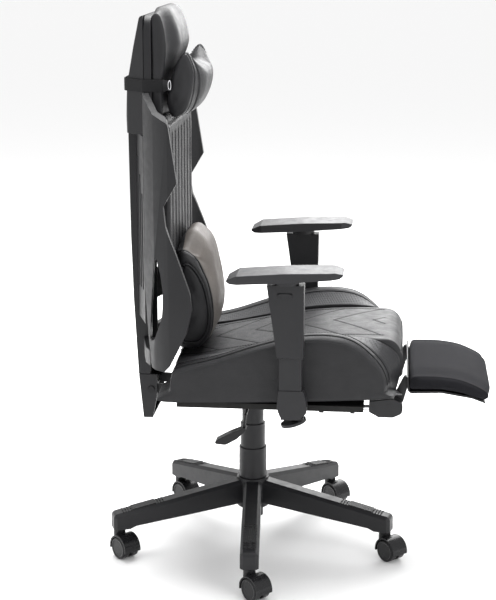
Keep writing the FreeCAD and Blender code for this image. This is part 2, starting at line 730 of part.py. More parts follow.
def arm_post(name, side):
    """Rounded foot at the end of the bracket and the post that carries the sleeve."""
    label = "arm_post_" + name
    front = read("post_front")
    rear = read("post_rear")
    low = read("bracket_top")
    foot_view = [(front - 11, low + 14, 16), (front - 13, low + 27, 20), (front - 4, read("foot_top")),
                 (rear + 1, read("foot_top")), (rear + 5, low + 27, 20), (rear - 4, low, 14),
                 (front + 6, low, 14)]
    foot = slab(label + "_foot", foot_view, along_x(side, "arm_x - post_width / 2 - 2", "post_width + 4"),
                "post_width + 4")
    post = block(label + "_upright", along_x(side, "arm_x - post_width / 2", "post_width"), "post_front",
                 "foot_top - 10", "post_width", "post_rear - post_front", "post_head - foot_top + 10")
    return fuse(label, foot, post)


def arm_sleeve(name, side):
    """Hollow upper arm, wider at the top, with a recess for its release button."""
    label = "arm_sleeve_" + name
    front = read("post_front") - 3.5
    view = [(front, read("sleeve_foot"), 3), (front - 1, read("sleeve_top")), (-58, read("sleeve_top")),
            (-81, read("sleeve_foot"), 3)]
    outside = slab(label + "_outside", view, along_x(side, "arm_x - sleeve_width / 2", "sleeve_width"),
                   "sleeve_width")
    hollow = block(label + "_hollow",
                   along_x(side, "arm_x - post_width / 2 - slide_gap", "post_width + 2 * slide_gap"),
                   "post_front - slide_gap", "sleeve_foot - 1", "post_width + 2 * slide_gap",
                   "post_rear - post_front + 2 * slide_gap", "sleeve_roof - sleeve_foot + 1")
    recess = block(label + "_recess", along_x(side, "arm_x + sleeve_width / 2 - button_depth", "button_depth + 1"),
                   "button_y - button_length / 2 - slide_gap", "button_z - slide_gap", "button_depth + 1",
                   "button_length + 2 * slide_gap", "button_height + 2 * slide_gap")
    return cut(label, outside, [hollow, recess])


def arm_button(name, side):
    """Height button in the outer face of a sleeve."""
    label = "arm_button_" + name
    low = read("button_z")
    high = low + read("button_height")
    reach = read("button_length") / 2
    middle = read("button_y")
    view = [(middle - reach, low, 2), (middle + reach, low, 2), (middle + reach, high - 2, 3),
            (middle + reach / 2, high, 12), (middle - reach / 2, high, 12), (middle - reach, high - 2, 3)]
    return slab(label, view, along_x(side, "arm_x + sleeve_width / 2 - 1.2", "button_depth"), "button_depth")


def arm_pad(name, side):
    """Long arm pad, a little higher at the front, with bevelled ends, on a swivel boss."""
    label = "arm_pad_" + name
    view = [(20, 711, 2), (32, 717, 3), (6, 730, 6), (-97, 738, 400), (-204, 741, 8), (-226, 735, 3),
            (-214, 727, 2), (-97, 717, 400)]
    pad = slab(label + "_pad", view, along_x(side, "arm_x - pad_width / 2", "pad_width"), "pad_width")
    middle = read("arm_x") * side
    half = read("pad_width") / 2
    plan = [(middle - half, -196, 4), (middle - half + 16, -230, 6), (middle + half - 16, -230, 6),
            (middle + half, -196, 4), (middle + half, 4, 4), (middle + half - 16, 36, 6),
            (middle - half + 16, 36, 6), (middle - half, 4, 4)]
    trim = column(label + "_trim", plan, "sleeve_top", "pad_width")
    boss = rod(label + "_boss", "pad_boss_radius", "16", x="arm_x" if side > 0 else "-arm_x", y="arm_pivot_y",
               z="pad_boss_foot")
    return fuse(label, overlap(label + "_shaped", pad, trim), boss)


def armrests():
    """Both armrests."""
    for name, side in SIDES.items():
        keep(arm_bracket(name, side), arm_knob(name, side), arm_post(name, side), arm_sleeve(name, side),
             arm_button(name, side), arm_pad(name, side))


# ---------------------------------------------------------------- footrest


def footrest_rods():
    """Two chromed rods that slide in the guides."""
    rods = [
        rod("footrest_rod_" + name, "rod_radius", "rod_rear - rod_front", x="rod_x" if side > 0 else "-rod_x",
            y="rod_front", z="rod_z", along=Vector(0, 1, 0))
        for name, side in SIDES.items()
    ]
    return group("footrest_rods", rods)


def footrest_elbows():
    """Clamshell joints on the rod ends, bored for the fold pins."""
    y = read("fold_y")
    z = read("fold_z")
    radius = read("elbow_radius")
    rear = read("elbow_rear")
    view = [(rear, z - 10, 2), (rear, z + 14, 2), (y, z + radius, 10), (y - radius, z + 12, 14),
            (y - radius, z - 12, 14), (y, z - radius, 10), (rear - 22, z - radius, 4)]
    elbows = []
    for name, side in SIDES.items():
        shell = slab("elbow_shell_" + name, view, along_x(side, "elbow_inner", "elbow_width"), "elbow_width")
        seat_hole = rod("elbow_rod_hole_" + name, "rod_radius", "rod_rear - rod_front",
                        x="rod_x" if side > 0 else "-rod_x", y="rod_front", z="rod_z", along=Vector(0, 1, 0))
        pin_hole = rod("elbow_pin_hole_" + name, "fold_bore", "elbow_width - 2",
                       x=along_x(side, "elbow_inner - 1", "elbow_width - 2"), y="fold_y", z="fold_z",
                       along=Vector(1, 0, 0))
        elbows.append(cut("elbow_" + name, shell, [seat_hole, pin_hole]))
    return group("footrest_elbows", elbows)


def footrest_hinge_arms():
    """Cranked arms, each with its fold pin, up to the footrest plate."""
    y = read("fold_y")
    z = read("fold_z")
    view = [(y + 9, z - 12, 6), (y + 9, z, 4), (-356, 462, 2), (-361, 466, 2),
            (-365, 438, 4), (-357, z + 12, 14), (y - 12, z - 12, 10)]
    arms = []
    for name, side in SIDES.items():
        plate = slab("hinge_arm_plate_" + name, view,
                     along_x(side, "elbow_inner - fold_arm_width - slide_gap", "fold_arm_width"), "fold_arm_width")
        pin = rod("hinge_arm_pin_" + name, "fold_pin", "fold_arm_width + elbow_width - 6",
                  x=along_x(side, "elbow_inner - fold_arm_width - slide_gap", "fold_arm_width + elbow_width - 6"),
                  y="fold_y", z="fold_z", along=Vector(1, 0, 0))
        arms.append(fuse("hinge_arm_" + name, plate, pin))
    return group("footrest_hinge_arms", arms)


def footrest_plate():
    """Bent plate along the inner edge and the underside of the footrest."""
    view = [(-361.5, 468, 2), (-365.2, 437, 3), (-372, 430), (-440, 433, 40), (-510, 422, 40), (-540, 411),
            (-538, 416), (-510, 427, 40), (-440, 438, 40), (-370, 435.2), (-366, 468, 2)]
    return slab("footrest_plate", view, "-footrest_plate_half", "footrest_plate_half * 2")


def footrest_cushion():
    """Curved calf pad that drops towards its outer edge."""
    view = [(-366.3, 468, 6), (-370.3, 436), (-440, 438.6, 40), (-511, 427.6, 40), (-541, 416.5, 10),
            (-553, 428, 8), (-546, 442, 14), (-517, 457, 40), (-478, 471, 60), (-430, 477, 60), (-376, 475, 6)]
    return slab("footrest_cushion", view, "-footrest_half", "footrest_half * 2")


def footrest():
    """Everything that slides out from under the seat."""
    keep(footrest_rods(), footrest_elbows(), footrest_hinge_arms(), footrest_plate(), footrest_cushion())


# ---------------------------------------------------------------- whole chair


def check(things):
    """Stop if any object failed or any sub-part isn't a valid solid."""
    doc.recompute()
    failed = [thing.Label for thing in doc.Objects if {"Invalid", "Error"} & set(thing.State)]
    for thing in things:
        shape = thing.Shape
        if shape.isNull() or not shape.isValid() or not shape.Solids or shape.Volume <= 0:
            failed.append(thing.Label)
    if failed:
        raise RuntimeError("failed: " + ", ".join(failed))


def export(things):
    """One STEP file for each sub-part."""
    os.makedirs("parts", exist_ok=True)
    for thing in things:
        thing.Shape.exportStep(os.path.join("parts", thing.Label + ".step"))


base()
gas_lift()
seat()
keep(height_lever())
backrest()
armrests()
footrest()
check(subparts)
export(subparts)
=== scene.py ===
"""Looks of the reclining swivel armchair: soft covers, seams, moulded plastics, camera and light."""
import json
import math

import bmesh
import bpy
from mathutils import Matrix, Vector
from mathutils.bvhtree import BVHTree
from mathutils.kdtree import KDTree


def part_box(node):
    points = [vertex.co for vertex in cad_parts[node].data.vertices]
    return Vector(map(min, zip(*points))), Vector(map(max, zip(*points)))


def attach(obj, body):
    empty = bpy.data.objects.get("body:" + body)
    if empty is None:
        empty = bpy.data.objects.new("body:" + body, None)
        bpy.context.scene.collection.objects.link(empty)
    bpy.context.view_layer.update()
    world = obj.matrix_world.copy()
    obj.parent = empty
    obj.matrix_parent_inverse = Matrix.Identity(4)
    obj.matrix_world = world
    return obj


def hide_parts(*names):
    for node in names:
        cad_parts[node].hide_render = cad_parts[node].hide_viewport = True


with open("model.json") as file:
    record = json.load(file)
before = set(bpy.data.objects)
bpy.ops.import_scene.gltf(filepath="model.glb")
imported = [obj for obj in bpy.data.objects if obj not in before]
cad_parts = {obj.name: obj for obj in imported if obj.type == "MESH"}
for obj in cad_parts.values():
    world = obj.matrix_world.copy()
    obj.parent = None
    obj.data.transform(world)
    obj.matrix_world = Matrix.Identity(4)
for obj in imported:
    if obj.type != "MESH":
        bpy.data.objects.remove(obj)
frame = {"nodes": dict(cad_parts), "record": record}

NODES = frame["nodes"]
SLOTS = {entry["node"]: entry["material_slot"] for entry in frame["record"]["subparts"]}
BODIES = {
    node: body for body, members in frame["record"]["behaviour"]["bodies"].items() for node in members
}
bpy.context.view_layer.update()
MM = 0.001
SIDES = {"left": 1, "right": -1}
LEG_COUNT = 5
LEG_TURN = 40.1  # degrees from +X to the first leg
CLOTH_FRAMES = 20
CORNER_STEPS = 5
CAP_FACTORS = (0.85, 0.7, 0.5, 0.3, 0.15, 0.05, 0.01)  # rings of an end cap, as shares of its outline
CAMERA_PLACE = (-3.518, -0.336, 1.461)
CAMERA_FORWARD = (0.9668, 0.0956, -0.2369)
CAMERA_LENS = 92.9  # mm, for a sensor 36 mm wide

# ---------------------------------------------------------------- materials


class Shader:
    """A Principled material with short helpers for its procedural nodes."""

    def __init__(self, name, color, roughness, metallic=0.0, specular=0.3):
        self.material = bpy.data.materials.new(name)
        self.material.use_nodes = True
        self.tree = self.material.node_tree
        self.bsdf = self.tree.nodes["Principled BSDF"]
        self.bsdf.inputs["Base Color"].default_value = (*color, 1)
        self.bsdf.inputs["Roughness"].default_value = roughness
        self.bsdf.inputs["Metallic"].default_value = metallic
        self.bsdf.inputs["Specular IOR Level"].default_value = specular
        self.color = color
        self.roughness = roughness
        self.height = None
        self.place = self.tree.nodes.new("ShaderNodeTexCoord").outputs["Object"]

    def node(self, kind, values=None, **settings):
        """A node with its settings, and its inputs by name: sockets are linked, numbers are set."""
        made = self.tree.nodes.new(kind)
        for name, value in settings.items():
            setattr(made, name, value)
        for name, value in (values or {}).items():
            if isinstance(value, bpy.types.NodeSocket):
                self.tree.links.new(value, made.inputs[name])
            else:
                made.inputs[name].default_value = value
        return made

    def stretched(self, scale):
        """Object coordinates scaled by axis."""
        return self.node("ShaderNodeMapping", {"Vector": self.place, "Scale": scale}).outputs["Vector"]

    def noise(self, scale, detail=3.0, place=None, roughness=0.5):
        """A noise between 0 and 1."""
        values = {"Vector": place or self.place, "Scale": scale, "Detail": detail, "Roughness": roughness}
        return self.node("ShaderNodeTexNoise", values).outputs["Fac"]

    def math(self, operation, first, second=0.0):
        """One arithmetic step."""
        made = self.node("ShaderNodeMath", operation=operation)
        for socket, value in zip(made.inputs, (first, second)):
            if isinstance(value, bpy.types.NodeSocket):
                self.tree.links.new(value, socket)
            else:
                socket.default_value = value
        return made.outputs["Value"]

    def spread(self, source, low, high, onto_low=0.0, onto_high=1.0):
        """Map a range of a value onto another range."""
        values = {"Value": source, "From Min": low, "From Max": high, "To Min": onto_low, "To Max": onto_high}
        return self.node("ShaderNodeMapRange", values).outputs["Result"]

    def vary_color(self, source, dark=0.7, light=1.25):
        """Let the base colour follow a 0 to 1 source."""
        mix = self.node("ShaderNodeMix", data_type="RGBA")
        self.tree.links.new(source, mix.inputs["Factor"])
        mix.inputs[6].default_value = (*[part * dark for part in self.color], 1)
        mix.inputs[7].default_value = (*[part * light for part in self.color], 1)
        self.tree.links.new(mix.outputs[2], self.bsdf.inputs["Base Color"])

    def vary_roughness(self, source, spread=0.1):
        """Let the roughness follow a 0 to 1 source."""
        mapped = self.spread(source, 0.3, 0.7, self.roughness - spread, self.roughness + spread)
        self.tree.links.new(mapped, self.bsdf.inputs["Roughness"])

    def bump(self, source, distance, strength=1.0):
        """Add a layer of relief, `distance` metres deep."""
        values = {"Height": source, "Distance": distance, "Strength": strength}
        if self.height:
            values["Normal"] = self.height
        self.height = self.node("ShaderNodeBump", values).outputs["Normal"]
        self.tree.links.new(self.height, self.bsdf.inputs["Normal"])


def leather(name, color, roughness=0.46):
    """Fine-grained upholstery leather with faint creases and worn sheen."""
    shader = Shader(name, color, roughness)
    cells = shader.node("ShaderNodeTexVoronoi", {"Vector": shader.place, "Scale": 620.0},
                        feature="DISTANCE_TO_EDGE").outputs["Distance"]
    pebble = shader.spread(cells, 0.0, 0.25)
    patches = shader.noise(14.0, 4.0)
    shader.vary_color(shader.spread(patches, 0.3, 0.7), 0.86, 1.16)
    shader.vary_roughness(shader.noise(38.0, 3.0), 0.07)
    shader.bump(shader.noise(22.0, 5.0, shader.stretched((1, 1, 1.8))), 0.0022, 0.55)
    shader.bump(pebble, 0.00022, 0.55)
    return shader.material


def perforated(name, color):
    """Leather with a close diagonal grid of small holes, with painted shade darkening the holes and the
    leather between them lightened.
    """
    shader = Shader(name, color, 0.5)
    step = 0.0062
    parts = shader.node("ShaderNodeSeparateXYZ", {"Vector": shader.place})
    along = shader.math("ADD", parts.outputs["Y"], parts.outputs["Z"])
    across = shader.math("SUBTRACT", parts.outputs["Y"], parts.outputs["Z"])
    waves = [
        shader.math("SINE", shader.math("MULTIPLY", source, 2 * math.pi / step))
        for source in (along, across)
    ]
    dots = shader.spread(shader.math("ADD", waves[0], waves[1]), 0.2, 1.4)
    # painted shade: the holes are darkened and the leather between them lightened, following the same grid
    # that sinks the holes in the bump
    shader.vary_color(dots, 1.35, 0.35)
    shader.bump(shader.math("MULTIPLY", dots, -1.0), 0.0007, 0.8)
    shader.bump(shader.noise(30.0, 4.0), 0.001, 0.3)
    return shader.material


def moulded(name, color, roughness=0.42, grain=900.0):
    """Injection-moulded plastic with a fine spark-eroded grain."""
    shader = Shader(name, color, roughness)
    patches = shader.noise(6.0, 3.0)
    shader.vary_color(shader.spread(patches, 0.3, 0.7), 0.9, 1.12)
    shader.vary_roughness(shader.noise(55.0, 2.0), 0.05)
    shader.bump(shader.noise(grain, 2.0), 0.00012, 0.6)
    return shader.material


def woven(name, color, step=0.0016, roughness=0.85):
    """Plain weave, whose threads go over and under each other, with painted shade between the threads and a
    painted highlight where they rise, mixed with random blotches.
    """
    shader = Shader(name, color, roughness, specular=0.12)
    parts = shader.node("ShaderNodeSeparateXYZ", {"Vector": shader.place})
    length = shader.math("SUBTRACT", parts.outputs["Y"], parts.outputs["Z"])
    waves = [
        shader.math("SINE", shader.math("MULTIPLY", source, 2 * math.pi / step))
        for source in (parts.outputs["X"], length)
    ]
    threads = shader.spread(shader.math("MULTIPLY", waves[0], waves[1]), -1.0, 1.0)
    fibres = shader.noise(700.0, 3.0)
    blotches = shader.noise(9.0, 4.0)
    # partly painted light: colour follows the weave's relief, lighter where threads rise and darker between
    # them as painted shade; fibres and blotches add random tone
    shader.vary_color(shader.math("MULTIPLY", shader.math("ADD", threads, fibres), shader.spread(
        blotches, 0.3, 0.7, 0.4, 0.6)), 0.55, 1.5)
    shader.bump(threads, 0.0004, 0.8)
    shader.bump(blotches, 0.002, 0.35)
    return shader.material


def ribbed_webbing(name, color):
    """Elastic webbing with fine ribs across its height, with painted shade in the grooves and a painted
    highlight on the crests.
    """
    shader = Shader(name, color, 0.8, specular=0.3)
    pitch = 0.0022
    parts = shader.node("ShaderNodeSeparateXYZ", {"Vector": shader.place})
    ribs = shader.math("SINE", shader.math("MULTIPLY", parts.outputs["Z"], 2 * math.pi / pitch))
    # painted shade and highlight: the grooves between ribs are darkened and the crests lightened, following
    # the rib relief
    shader.vary_color(shader.spread(ribs, -1.0, 1.0), 0.7, 1.3)
    shader.bump(ribs, 0.0004, 0.7)
    return shader.material


def tread(name, color):
    """Raised diamond tread of the foot plates, with painted highlights on the raised diamonds and painted
    shade in the hollows between them.
    """
    shader = Shader(name, color, 0.5)
    parts = shader.node("ShaderNodeSeparateXYZ", {"Vector": shader.place})
    pitch = 0.0085
    first = shader.math("ADD", parts.outputs["X"], parts.outputs["Y"])
    second = shader.math("SUBTRACT", parts.outputs["X"], parts.outputs["Y"])
    waves = [
        shader.math("SINE", shader.math("MULTIPLY", source, 2 * math.pi / pitch))
        for source in (first, second)
    ]
    diamonds = shader.spread(shader.math("MULTIPLY", waves[0], waves[1]), 0.0, 0.5)
    # painted shade and highlight: raised diamonds are lightened and the hollows between them darkened,
    # following the tread relief
    shader.vary_color(diamonds, 0.6, 1.5)
    shader.bump(diamonds, 0.0012, 0.9)
    return shader.material


def steel(name, color, roughness, metallic=1.0):
    """Ground, painted or plated steel with fine directional marks."""
    shader = Shader(name, color, roughness, metallic)
    marks = shader.noise(140.0, 4.0, shader.stretched((1, 6, 1)))
    shader.vary_roughness(marks, 0.04)
    shader.bump(marks, 0.00004, 0.4)
    return shader.material


def thread(name, color):
    """Twisted sewing thread."""
    shader = Shader(name, color, 0.7, specular=0.3)
    twist = shader.noise(2500.0, 1.0)
    shader.vary_color(twist, 0.7, 1.4)
    return shader.material


MATERIALS = {
    "frame_plastic": moulded("frame_plastic", (0.011, 0.011, 0.0125), 0.40),
    "tread_plastic": tread("tread_plastic", (0.008, 0.008, 0.009)),
    "cover_plastic": moulded("cover_plastic", (0.012, 0.012, 0.0135), 0.42),
    "painted_steel": steel("painted_steel", (0.008, 0.008, 0.009), 0.38, 0.1),
    "bright_steel": steel("bright_steel", (0.55, 0.55, 0.57), 0.28),
    "chrome": steel("chrome", (0.80, 0.80, 0.82), 0.08),
    "board": moulded("board", (0.010, 0.010, 0.0095), 0.75, 300.0),
    "leather": leather("leather", (0.013, 0.013, 0.0145)),
    "perforated_leather": perforated("perforated_leather", (0.017, 0.017, 0.019)),
    "lumbar_leather": leather("lumbar_leather", (0.095, 0.084, 0.076), 0.5),
    "webbing": ribbed_webbing("webbing", (0.010, 0.010, 0.011)),
    "footrest_cloth": woven("footrest_cloth", (0.011, 0.011, 0.013)),
    "arm_plastic": moulded("arm_plastic", (0.013, 0.013, 0.0145), 0.42),
    "arm_pad_foam": moulded("arm_pad_foam", (0.020, 0.020, 0.022), 0.42, 1400.0),
    "caster_plastic": moulded("caster_plastic", (0.008, 0.008, 0.009), 0.26),
    "wheel_plastic": moulded("wheel_plastic", (0.009, 0.009, 0.010), 0.30),
    "thread": thread("thread", (0.006, 0.006, 0.0065)),
}

# ---------------------------------------------------------------- geometry tools


def smoothstep(value):
    """Ease between 0 and 1."""
    value = min(max(value, 0.0), 1.0)
    return value * value * (3 - 2 * value)


def curve_through(points, per_span=6, closed=True):
    """A Catmull-Rom curve through points of any dimension, as vectors."""
    points = [Vector(point) for point in points]
    count = len(points)
    spans = count if closed else count - 1
    result = []
    for index in range(spans):
        if closed:
            p0, p1, p2, p3 = (points[(index + shift) % count] for shift in (-1, 0, 1, 2))
        else:
            p0, p1, p2, p3 = (points[min(max(index + shift, 0), count - 1)] for shift in (-1, 0, 1, 2))
        for step in range(per_span):
            t = step / per_span
            result.append(0.5 * ((2 * p1) + (p2 - p0) * t + (2 * p0 - 5 * p1 + 4 * p2 - p3) * t * t
                                 + (3 * p1 - p0 - 3 * p2 + p3) * t * t * t))
    if not closed:
        result.append(points[-1])
    return result


def evenly(points, count):
    """The closed outline sampled again at even spacing from its first point."""
    loop = points + [points[0]]
    lengths = [0.0]
    for a, b in zip(loop, loop[1:]):
        lengths.append(lengths[-1] + (b - a).length)
    result = []
    index = 0
    for step in range(count):
        target = lengths[-1] * step / count
        while lengths[index + 1] < target:
            index += 1
        span = lengths[index + 1] - lengths[index]
        part = (target - lengths[index]) / span if span else 0.0
        result.append(loop[index].lerp(loop[index + 1], part))
    return result


def linked(name, data):
    """A new object in the scene."""
    made = bpy.data.objects.new(name, data)
    bpy.context.scene.collection.objects.link(made)
    return made


def new_piece(name, mesh, material, body):
    """Link a mesh as a smooth-shaded piece that rides on a body."""
    data = bpy.data.meshes.new(name)
    mesh.to_mesh(data)
    mesh.free()
    piece = linked(name, data)
    for polygon in data.polygons:
        polygon.use_smooth = True
    data.materials.append(MATERIALS[material])
    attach(piece, body)
    return piece


def bridge(mesh, low, high):
    """Faces between two rings with equal numbers of points."""
    count = len(low)
    for index in range(count):
        following = (index + 1) % count
        mesh.faces.new((low[index], low[following], high[following], high[index]))


def skin_over(rings):
    """A closed mesh over rings with equal numbers of points."""
    mesh = bmesh.new()
    rows = [[mesh.verts.new(point) for point in ring] for ring in rings]
    for low, high in zip(rows, rows[1:]):
        bridge(mesh, low, high)
    ends = [mesh.faces.new(list(reversed(rows[0]))), mesh.faces.new(rows[-1])]
    bmesh.ops.triangulate(mesh, faces=ends)
    bmesh.ops.recalc_face_normals(mesh, faces=mesh.faces)
    return mesh


def shrunk(ring, factor, x):
    """A ring scaled about its middle in the (y, z) plane and put at x."""
    centre = sum(ring, Vector((0, 0))) / len(ring)
    return [Vector((x, *(centre + (point - centre) * factor))) for point in ring]


def across_loft(sections, start, end, corner, points=96, steps=24, cap_bulge=0.0):
    """Closed mesh along X: sections(t) gives the (y, z) outline at t from -1 to 1, with rounded ends."""
    middle = (start + end) / 2
    half = (end - start) / 2
    size = None
    rings = []
    for step in range(steps + 1):
        t = math.sin((step / steps - 0.5) * math.pi)
        ring = evenly(sections(t), points)
        if size is None:
            centre = sum(ring, Vector((0, 0))) / len(ring)
            size = min((point - centre).length for point in ring)
        x = middle + t * (half - corner)
        rings.append(shrunk(ring, 1.0, x))
    first = [Vector((p.y, p.z)) for p in rings[0]]
    last = [Vector((p.y, p.z)) for p in rings[-1]]
    ends = []
    for step in range(1, CORNER_STEPS + 1):
        angle = step / CORNER_STEPS * math.pi / 2
        inset = 1 - corner * (1 - math.cos(angle)) / size
        ends.append((inset, math.sin(angle) * corner))
    flat = ends[-1][0]
    caps = [(flat * factor, corner + cap_bulge * (1 - factor * factor)) for factor in CAP_FACTORS]
    low = [shrunk(first, factor, start + corner - reach) for factor, reach in ends + caps]
    high = [shrunk(last, factor, end - corner + reach) for factor, reach in ends + caps]
    return skin_over(list(reversed(low)) + rings + high)


def within(node, fractions):
    """Points of a (y, z) outline from fractions of a node's box."""
    low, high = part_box(node)
    return [
        Vector((low[1] + (high[1] - low[1]) * across, low[2] + (high[2] - low[2]) * up))
        for across, up in fractions
    ]


def between(first, second, weight):
    """Blend two outlines with the same number of points."""
    return [a.lerp(b, weight) for a, b in zip(first, second)]


def blended(middle, end, flat, ease):
    """Sections that keep the middle outline up to `flat` and turn into the end outline over `ease`."""

    def sections(t):
        weight = smoothstep((abs(t) - flat) / ease)
        return curve_through(between(middle, end, weight), 8)

    return sections


def inflate(piece, voxel, pressure, cap):
    """Fill a cover by a short pressure simulation, limited to `cap` metres of movement."""
    bpy.context.view_layer.objects.active = piece
    remesh = piece.modifiers.new("even", "REMESH")
    remesh.mode = "VOXEL"
    remesh.voxel_size = voxel
    remesh.use_smooth_shade = True
    apply_modifiers(piece)
    before = [vertex.co.copy() for vertex in piece.data.vertices]
    cloth = piece.modifiers.new("fill", "CLOTH")
    cloth.settings.quality = 5
    cloth.settings.use_pressure = True
    cloth.settings.uniform_pressure_force = pressure
    cloth.settings.effector_weights.gravity = 0
    cloth.settings.tension_stiffness = 40
    cloth.settings.compression_stiffness = 20
    cloth.settings.bending_stiffness = 2
    cloth.point_cache.frame_start = 1
    cloth.point_cache.frame_end = CLOTH_FRAMES
    for number in range(1, CLOTH_FRAMES + 1):
        bpy.context.scene.frame_set(number)
    seen = piece.evaluated_get(bpy.context.evaluated_depsgraph_get())
    after = [vertex.co.copy() for vertex in seen.data.vertices]
    piece.modifiers.remove(cloth)
    for vertex, old, new in zip(piece.data.vertices, before, after):
        move = new - old
        if move.length > cap:
            move = move.normalized() * cap
        vertex.co = old + move
    bpy.context.scene.frame_set(1)


def apply_modifiers(piece):
    """Make the modifiers' result the piece's own mesh."""
    seen = piece.evaluated_get(bpy.context.evaluated_depsgraph_get())
    data = bpy.data.meshes.new_from_object(seen)
    materials = list(piece.data.materials)
    old = piece.data
    piece.modifiers.clear()
    piece.data = data
    data.name = old.name + "_made"
    data.materials.clear()
    for material in materials:
        data.materials.append(material)
    bpy.data.meshes.remove(old)
    for polygon in data.polygons:
        polygon.use_smooth = True


def subdivide(piece, levels=1):
    """Subdivision surface, applied."""
    modifier = piece.modifiers.new("finer", "SUBSURF")
    modifier.levels = levels
    modifier.render_levels = levels
    apply_modifiers(piece)


def surface_of(piece):
    """A search tree over a piece's surface."""
    mesh = bmesh.new()
    mesh.from_mesh(piece.data)
    tree = BVHTree.FromBMesh(mesh)
    mesh.free()
    return tree


def dropped(tree, points, direction, spacing=0.002):
    """A path laid on a surface: straight runs between points, cast along a direction."""
    path = []
    for a, b in zip(points, points[1:]):
        a, b = Vector(a), Vector(b)
        count = max(2, int((b - a).length / spacing))
        for step in range(count):
            start = a.lerp(b, step / count)
            hit, normal, _, _ = tree.ray_cast(start, Vector(direction))
            if hit is not None:
                path.append((hit, normal))
    return path


def cut_path(piece, point, normal, keep=None):
    """The path, with normals, where a plane cuts a piece; `keep` drops unwanted stretches."""
    mesh = bmesh.new()
    mesh.from_mesh(piece.data)
    whole = mesh.verts[:] + mesh.edges[:] + mesh.faces[:]
    cut = bmesh.ops.bisect_plane(mesh, geom=whole, plane_co=point, plane_no=normal)["geom_cut"]
    edges = [part for part in cut if isinstance(part, bmesh.types.BMEdge)]
    links = {}
    for edge in edges:
        for vertex in edge.verts:
            links.setdefault(vertex, []).append(edge)
    best = []
    left = set(edges)
    while left:
        edge = min(left, key=lambda part: part.index)
        chain = [edge.verts[0], edge.verts[1]]
        left.discard(edge)
        for forward in (True, False):
            while True:
                tip = chain[-1] if forward else chain[0]
                onward = [part for part in links[tip] if part in left]
                if not onward:
                    break
                left.discard(onward[0])
                other = onward[0].other_vert(tip)
                if forward:
                    chain.append(other)
                else:
                    chain.insert(0, other)
        if len(chain) > len(best):
            best = chain
    path = [(vertex.co.copy(), vertex.normal.copy()) for vertex in best]
    mesh.free()
    if keep:
        path = longest_run(path, keep)
    return resampled(path)


def longest_run(path, keep):
    """The longest unbroken stretch of a closed path whose points pass a test."""
    flags = [keep(place) for place, _ in path]
    if all(flags):
        return path
    first = flags.index(False)
    turned = path[first:] + path[:first]
    runs = [[]]
    for place, normal in turned:
        if keep(place):
            runs[-1].append((place, normal))
        elif runs[-1]:
            runs.append([])
    return max(runs, key=len)


def resampled(path, spacing=0.003):
    """The same path with evenly spaced points."""
    if len(path) < 2:
        return path
    result = [path[0]]
    for place, normal in path[1:]:
        if (place - result[-1][0]).length >= spacing:
            result.append((place, normal))
    return result


def press_seam(piece, path, width=0.006, depth=0.003):
    """Sink the surface along a path."""
    tree = KDTree(len(path))
    for index, (place, _) in enumerate(path):
        tree.insert(place, index)
    tree.balance()
    normals = [vertex.normal.copy() for vertex in piece.data.vertices]
    for vertex, normal in zip(piece.data.vertices, normals):
        _, _, away = tree.find(vertex.co)
        if away < width:
            vertex.co -= normal * depth * (1 - (away / width) ** 2) ** 2


def tube_along(name, path, radius, material, body, lift=0.0, closed=False, sides=8):
    """A round cord of even thickness sewn along a path."""
    mesh = bmesh.new()
    rings = []
    count = len(path)
    for index, (place, normal) in enumerate(path):
        before = path[index - 1][0] if index or closed else place
        after = path[(index + 1) % count][0] if index + 1 < count or closed else place
        tangent = (after - before).normalized()
        side = tangent.cross(normal).normalized()
        up = side.cross(tangent).normalized()
        centre = place + normal * lift
        rings.append([
            mesh.verts.new(centre + (side * math.cos(turn) + up * math.sin(turn)) * radius)
            for turn in (2 * math.pi * step / sides for step in range(sides))
        ])
    pairs = list(zip(rings, rings[1:])) + ([(rings[-1], rings[0])] if closed else [])
    for low, high in pairs:
        bridge(mesh, low, high)
    if not closed:
        mesh.faces.new(list(reversed(rings[0])))
        mesh.faces.new(rings[-1])
    bmesh.ops.recalc_face_normals(mesh, faces=mesh.faces)
    new_piece(name, mesh, material, body)


def stitches(name, path, offset, body, length=0.0042, gap=0.0022, radius=0.0007):
    """A row of single stitches beside a path, each a small tapered capsule."""
    mesh = bmesh.new()
    travelled = 0.0
    for (place, normal), (onward, _) in zip(path, path[1:]):
        step = (onward - place).length
        if step < 1e-6:
            continue
        tangent = (onward - place) / step
        side = tangent.cross(normal).normalized()
        while travelled < step:
            middle = place + tangent * travelled + side * offset + normal * radius * 0.6
            capsule(mesh, middle, tangent, normal, length / 2, radius)
            travelled += length + gap
        travelled -= step
    if not mesh.verts:
        mesh.free()
        return
    new_piece(name, mesh, "thread", body)


def capsule(mesh, middle, tangent, normal, half, radius, sides=5):
    """One stitch."""
    side = tangent.cross(normal).normalized()
    rings = []
    for reach, size in ((-1.0, 0.35), (-0.7, 1.0), (0.7, 1.0), (1.0, 0.35)):
        centre = middle + tangent * half * reach
        rings.append([
            mesh.verts.new(centre + (side * math.cos(turn) + normal * math.sin(turn)) * radius * size)
            for turn in (2 * math.pi * step / sides for step in range(sides))
        ])
    for low, high in zip(rings, rings[1:]):
        bridge(mesh, low, high)
    mesh.faces.new(list(reversed(rings[0])))
    mesh.faces.new(rings[-1])


